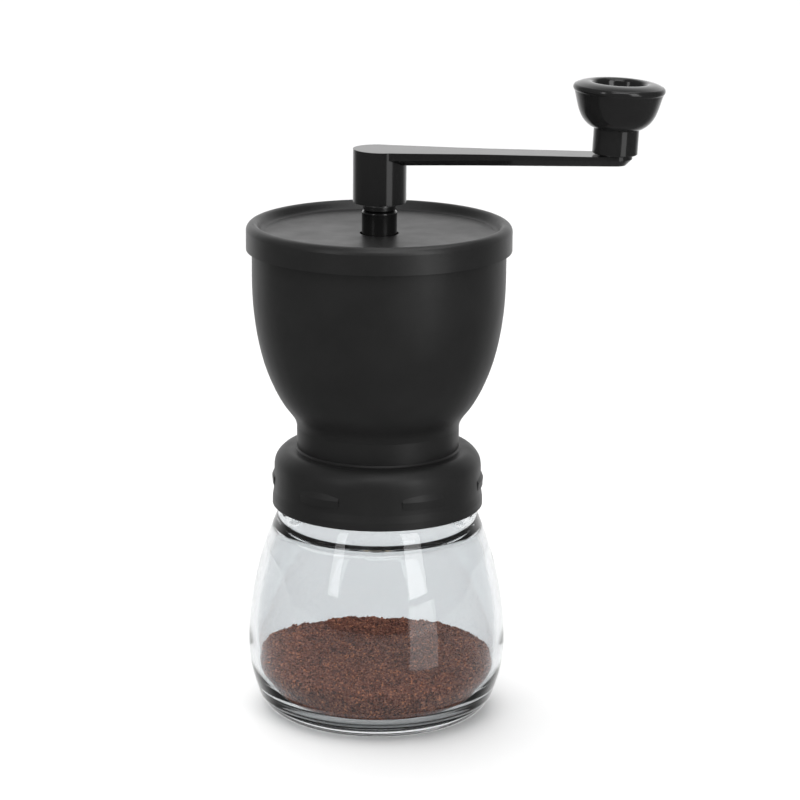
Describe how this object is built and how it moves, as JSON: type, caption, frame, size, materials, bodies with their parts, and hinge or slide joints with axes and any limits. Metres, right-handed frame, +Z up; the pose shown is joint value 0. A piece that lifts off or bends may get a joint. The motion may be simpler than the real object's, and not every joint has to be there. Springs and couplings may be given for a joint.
{
  "type": "hand crank coffee grinder",
  "caption": "Hand coffee mill: clear glass jar under a matt black hopper with a conical burr, flat lid, and a lift-off crank with a flared knob.",
  "frame": {"origin": "centre of the jar's flat base, on the mill's axis, on the surface it stands on", "axes": "+Z up along the mill's axis, +X from the shaft towards the knob at rest, the picture's camera looks along +Y"},
  "size_m": [0.1432, 0.092, 0.2249],
  "materials": {
    "clear_glass": "clear, smooth",
    "coffee": "loose grounds",
    "silicone": "matt",
    "satin_black": "satin moulded",
    "gloss_black": "polished",
    "bearing_plastic": "plain",
    "white_ceramic": "unglazed, fine",
    "steel": "turned",
    "bright_steel": "polished",
    "brass": "turned"
  },
  "bodies": {
    "jar": {"glass_jar": "clear_glass", "ground_coffee": "coffee"},
    "seal": {"jar_seal": "silicone"},
    "hopper": {"hopper": "satin_black", "upper_bushing": "bearing_plastic", "lower_bushing": "bearing_plastic", "burr_cushion": "silicone", "outer_burr": "white_ceramic", "burr_retainer": "satin_black", "burr_screws": "steel"},
    "lid": {"lid": "satin_black"},
    "shaft": {"drive_shaft": "steel", "shaft_sleeve": "gloss_black", "shaft_clip": "steel", "thrust_washer": "bearing_plastic", "spring_seat": "steel", "burr_spring": "steel"},
    "burr": {"inner_burr": "white_ceramic", "burr_insert": "steel", "lock_plate": "steel"},
    "adjust_nut": {"adjust_nut": "gloss_black", "nut_insert": "brass"},
    "crank": {"crank_arm": "gloss_black", "hub_insert": "bright_steel", "knob_screw": "bright_steel", "knob_washer": "bearing_plastic"},
    "knob": {"knob": "gloss_black"}
  },
  "joints": [
    {"name": "hopper_rise", "type": "slide", "parent": "jar", "child": "seal", "axis": [0, 0, 1], "range_m": [0, 0.0051]},
    {"name": "hopper_unscrew", "type": "hinge", "parent": "seal", "child": "hopper", "pos_m": [0, 0, 0.08], "axis": [0, 0, 1], "range_deg": [0, 450]},
    {"name": "lid_lift", "type": "slide", "parent": "hopper", "child": "lid", "axis": [0, 0, 1], "range_m": [0, 0.049]},
    {"name": "crank_turn", "type": "hinge", "parent": "hopper", "child": "shaft", "pos_m": [0, 0, 0.119], "axis": [0, 0, 1], "continuous": true},
    {"name": "crank_lift", "type": "slide", "parent": "shaft", "child": "crank", "axis": [0, 0, 1], "range_m": [0, 0.064]},
    {"name": "knob_spin", "type": "hinge", "parent": "crank", "child": "knob", "pos_m": [0.0804, 0, 0.19964], "axis": [0.0471, 0, 0.9989], "continuous": true},
    {"name": "burr_lift", "type": "slide", "parent": "shaft", "child": "burr", "axis": [0, 0, 1], "range_m": [0, 0.00152], "deforming": ["burr_spring"]},
    {"name": "adjust_nut_turn", "type": "hinge", "parent": "burr", "child": "adjust_nut", "pos_m": [0, 0, 0.07], "axis": [0, 0, 1], "range_deg": [0, 540]}
  ],
  "couplings": [
    {"joint": "hopper_rise", "follows": "hopper_unscrew", "m_per_rad": 0.00063662},
    {"joint": "lid_lift", "follows": "crank_lift", "ratio": 0.75},
    {"joint": "burr_lift", "follows": "adjust_nut_turn", "m_per_rad": 0.00015915}
  ]
}
